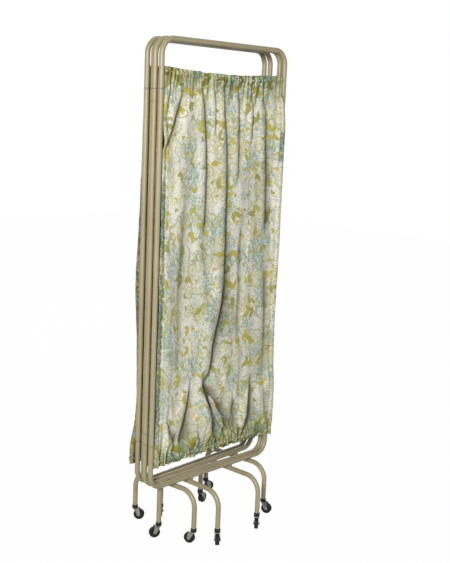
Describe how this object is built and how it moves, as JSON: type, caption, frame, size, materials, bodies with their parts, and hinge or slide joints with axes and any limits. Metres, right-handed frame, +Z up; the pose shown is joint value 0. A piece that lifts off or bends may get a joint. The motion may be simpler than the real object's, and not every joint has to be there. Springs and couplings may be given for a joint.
{
  "type": "ward privacy screen on wheels",
  "caption": "Folding hospital ward screen of hinged tubular panels on castored feet, each panel with a gathered floral curtain between two wires, folded flat.",
  "frame": {"origin": "middle of the bounding box, on the floor", "axes": "+Z up along the posts, X along the front panel, -Y towards the front of the folded screen"},
  "size_m": [0.6858, 0.4342, 1.8296],
  "materials": {
    "painted_tube": "worn semi-gloss stoving enamel, beige khaki",
    "curtain_cloth": "printed cotton, off-white ground with olive, ochre and turquoise flowers",
    "curtain_wire": "coiled spring wire with hooks",
    "castor_fork": "zinc plated pressing, dull",
    "castor_wheel": "black moulded tread",
    "castor_ferrule": "black moulded collar"
  },
  "bodies": {
    "panel_1": {"panel_1_bottom_bow": "painted_tube", "panel_1_bottom_wire": "curtain_wire", "panel_1_curtain": "curtain_cloth", "panel_1_left_foot": "painted_tube", "panel_1_left_front_ferrule": "castor_ferrule", "panel_1_left_post": "painted_tube", "panel_1_left_rear_ferrule": "castor_ferrule", "panel_1_right_foot": "painted_tube", "panel_1_right_front_ferrule": "castor_ferrule", "panel_1_right_post": "painted_tube", "panel_1_right_rear_ferrule": "castor_ferrule", "panel_1_top_bow": "painted_tube", "panel_1_top_wire": "curtain_wire"},
    "panel_2": {"panel_2_bottom_bow": "painted_tube", "panel_2_bottom_wire": "curtain_wire", "panel_2_curtain": "curtain_cloth", "panel_2_ferrule": "castor_ferrule", "panel_2_left_post": "painted_tube", "panel_2_leg": "painted_tube", "panel_2_right_post": "painted_tube", "panel_2_top_bow": "painted_tube", "panel_2_top_wire": "curtain_wire"},
    "panel_3": {"panel_3_bottom_bow": "painted_tube", "panel_3_bottom_wire": "curtain_wire", "panel_3_curtain": "curtain_cloth", "panel_3_left_foot": "painted_tube", "panel_3_left_front_ferrule": "castor_ferrule", "panel_3_left_post": "painted_tube", "panel_3_left_rear_ferrule": "castor_ferrule", "panel_3_right_foot": "painted_tube", "panel_3_right_front_ferrule": "castor_ferrule", "panel_3_right_post": "painted_tube", "panel_3_right_rear_ferrule": "castor_ferrule", "panel_3_top_bow": "painted_tube", "panel_3_top_wire": "curtain_wire"},
    "panel_4": {"panel_4_bottom_bow": "painted_tube", "panel_4_bottom_wire": "curtain_wire", "panel_4_curtain": "curtain_cloth", "panel_4_left_post": "painted_tube", "panel_4_right_post": "painted_tube", "panel_4_top_bow": "painted_tube", "panel_4_top_wire": "curtain_wire"},
    "panel_1_left_front_swivel": {"panel_1_left_front_fork": "castor_fork"},
    "panel_1_left_front_roll": {"panel_1_left_front_wheel": "castor_wheel"},
    "panel_1_left_rear_swivel": {"panel_1_left_rear_fork": "castor_fork"},
    "panel_1_left_rear_roll": {"panel_1_left_rear_wheel": "castor_wheel"},
    "panel_1_right_front_swivel": {"panel_1_right_front_fork": "castor_fork"},
    "panel_1_right_front_roll": {"panel_1_right_front_wheel": "castor_wheel"},
    "panel_1_right_rear_swivel": {"panel_1_right_rear_fork": "castor_fork"},
    "panel_1_right_rear_roll": {"panel_1_right_rear_wheel": "castor_wheel"},
    "panel_2_swivel": {"panel_2_fork": "castor_fork"},
    "panel_2_roll": {"panel_2_wheel": "castor_wheel"},
    "panel_3_left_front_swivel": {"panel_3_left_front_fork": "castor_fork"},
    "panel_3_left_front_roll": {"panel_3_left_front_wheel": "castor_wheel"},
    "panel_3_left_rear_swivel": {"panel_3_left_rear_fork": "castor_fork"},
    "panel_3_left_rear_roll": {"panel_3_left_rear_wheel": "castor_wheel"},
    "panel_3_right_front_swivel": {"panel_3_right_front_fork": "castor_fork"},
    "panel_3_right_front_roll": {"panel_3_right_front_wheel": "castor_wheel"},
    "panel_3_right_rear_swivel": {"panel_3_right_rear_fork": "castor_fork"},
    "panel_3_right_rear_roll": {"panel_3_right_rear_wheel": "castor_wheel"}
  },
  "joints": [
    {"name": "hinge_1_2", "type": "hinge", "parent": "panel_1", "child": "panel_2", "pos_m": [0.31544, -0.00499, 0.9], "axis": [0, 0, -1], "range_deg": [0, 180]},
    {"name": "hinge_2_3", "type": "hinge", "parent": "panel_2", "child": "panel_3", "pos_m": [-0.31952, 0.00166, 0.9], "axis": [0, 0, 1], "range_deg": [0, 150]},
    {"name": "hinge_3_4", "type": "hinge", "parent": "panel_3", "child": "panel_4", "pos_m": [0.31955, 0.07699, 0.9], "axis": [0, 0, -1], "range_deg": [0, 180]},
    {"name": "panel_1_left_front_swivel_turn", "type": "hinge", "parent": "panel_1", "child": "panel_1_left_front_swivel", "pos_m": [-0.11556, -0.18699, 0.051], "axis": [0, 0, 1], "continuous": true},
    {"name": "panel_1_left_front_wheel_spin", "type": "hinge", "parent": "panel_1_left_front_swivel", "child": "panel_1_left_front_roll", "pos_m": [-0.12667, -0.1985, 0.021], "axis": [0.7193, -0.6947, 0], "continuous": true},
    {"name": "panel_1_left_rear_swivel_turn", "type": "hinge", "parent": "panel_1", "child": "panel_1_left_rear_swivel", "pos_m": [-0.11556, 0.12701, 0.051], "axis": [0, 0, 1], "continuous": true},
    {"name": "panel_1_left_rear_wheel_spin", "type": "hinge", "parent": "panel_1_left_rear_swivel", "child": "panel_1_left_rear_roll", "pos_m": [-0.10444, 0.13852, 0.021], "axis": [-0.7193, 0.6947, 0], "continuous": true},
    {"name": "panel_1_right_front_swivel_turn", "type": "hinge", "parent": "panel_1", "child": "panel_1_right_front_swivel", "pos_m": [0.10644, -0.18699, 0.051], "axis": [0, 0, 1], "continuous": true},
    {"name": "panel_1_right_front_wheel_spin", "type": "hinge", "parent": "panel_1_right_front_swivel", "child": "panel_1_right_front_roll", "pos_m": [0.09419, -0.19728, 0.021], "axis": [0.6428, -0.766, 0], "continuous": true},
    {"name": "panel_1_right_rear_swivel_turn", "type": "hinge", "parent": "panel_1", "child": "panel_1_right_rear_swivel", "pos_m": [0.10644, 0.12701, 0.051], "axis": [0, 0, 1], "continuous": true},
    {"name": "panel_1_right_rear_wheel_spin", "type": "hinge", "parent": "panel_1_right_rear_swivel", "child": "panel_1_right_rear_roll", "pos_m": [0.12225, 0.12951, 0.021], "axis": [-0.1564, 0.9877, 0], "continuous": true},
    {"name": "panel_2_swivel_turn", "type": "hinge", "parent": "panel_2", "child": "panel_2_swivel", "pos_m": [-0.24152, 0.00084, 0.051], "axis": [0, 0, 1], "continuous": true},
    {"name": "panel_2_wheel_spin", "type": "hinge", "parent": "panel_2_swivel", "child": "panel_2_roll", "pos_m": [-0.2559, 0.00785, 0.021], "axis": [-0.4384, -0.8988, 0], "continuous": true},
    {"name": "panel_3_left_front_swivel_turn", "type": "hinge", "parent": "panel_3", "child": "panel_3_left_front_swivel", "pos_m": [-0.18275, -0.12801, 0.051], "axis": [0, 0, 1], "continuous": true},
    {"name": "panel_3_left_front_wheel_spin", "type": "hinge", "parent": "panel_3_left_front_swivel", "child": "panel_3_left_front_roll", "pos_m": [-0.18901, -0.11328, 0.021], "axis": [-0.9205, -0.3907, 0], "continuous": true},
    {"name": "panel_3_left_rear_swivel_turn", "type": "hinge", "parent": "panel_3", "child": "panel_3_left_rear_swivel", "pos_m": [-0.19755, 0.18564, 0.051], "axis": [0, 0, 1], "continuous": true},
    {"name": "panel_3_left_rear_wheel_spin", "type": "hinge", "parent": "panel_3_left_rear_swivel", "child": "panel_3_left_rear_roll", "pos_m": [-0.18748, 0.17321, 0.021], "axis": [0.7771, 0.6293, 0], "continuous": true},
    {"name": "panel_3_right_front_swivel_turn", "type": "hinge", "parent": "panel_3", "child": "panel_3_right_front_swivel", "pos_m": [0.23278, -0.10841, 0.051], "axis": [0, 0, 1], "continuous": true},
    {"name": "panel_3_right_front_wheel_spin", "type": "hinge", "parent": "panel_3_right_front_swivel", "child": "panel_3_right_front_roll", "pos_m": [0.23852, -0.12335, 0.021], "axis": [0.9336, 0.3584, 0], "continuous": true},
    {"name": "panel_3_right_rear_swivel_turn", "type": "hinge", "parent": "panel_3", "child": "panel_3_right_rear_swivel", "pos_m": [0.21799, 0.20524, 0.051], "axis": [0, 0, 1], "continuous": true},
    {"name": "panel_3_right_rear_wheel_spin", "type": "hinge", "parent": "panel_3_right_rear_swivel", "child": "panel_3_right_rear_roll", "pos_m": [0.23358, 0.20164, 0.021], "axis": [0.225, 0.9744, 0], "continuous": true}
  ]
}
